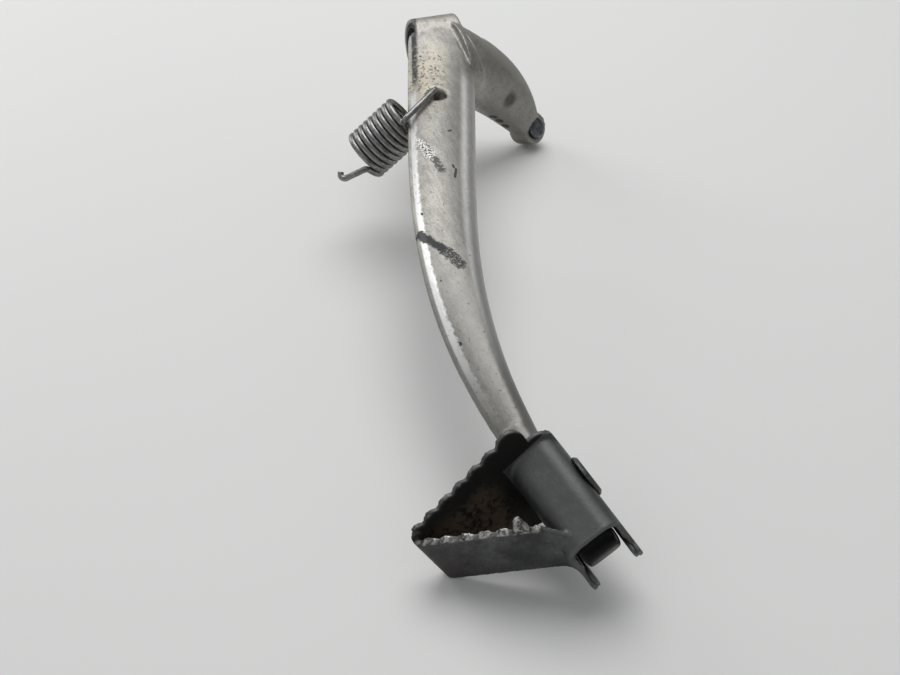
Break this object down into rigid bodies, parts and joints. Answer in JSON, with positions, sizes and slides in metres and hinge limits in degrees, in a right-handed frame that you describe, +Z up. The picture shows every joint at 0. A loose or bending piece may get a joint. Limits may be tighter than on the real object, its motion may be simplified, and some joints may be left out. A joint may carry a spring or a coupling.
{
  "type": "motorbike rear brake pedal",
  "caption": "Forged aluminium rear brake pedal with a pivot boss, push-rod lever, hooked-in return spring and a riveted serrated sheet-steel toe step.",
  "frame": {"origin": "centre of the pivot bore", "axes": "+X forward from the pivot to the toe step, +Y inboard along the pivot axis, +Z up in the pose of the picture, lying on a table"},
  "size_m": [0.2326, 0.1201, 0.056],
  "materials": {
    "forged_aluminium": "worn bare forging with stains",
    "bush_bronze": "dull bearing bronze",
    "seal_rubber": "matt black",
    "pin_steel": "dark blued steel",
    "step_steel": "dark oxidised sheet with worn bright teeth and rust",
    "rivet_steel": "dark steel",
    "spring_steel": "dark oiled spring wire"
  },
  "bodies": {
    "pedal": {"pedal_arm": "forged_aluminium", "pivot_bush": "bush_bronze", "outer_dust_seal": "seal_rubber", "inner_dust_seal": "seal_rubber", "push_rod_pin": "pin_steel", "toe_step": "step_steel", "step_rivet": "rivet_steel"},
    "spring": {"return_spring": "spring_steel"}
  },
  "joints": [
    {"name": "spring_swing", "type": "hinge", "parent": "pedal", "child": "spring", "pos_m": [0.04465, -0.01698, 0.00343], "axis": [0, 0, 1], "range_deg": [-25, 0]}
  ]
}
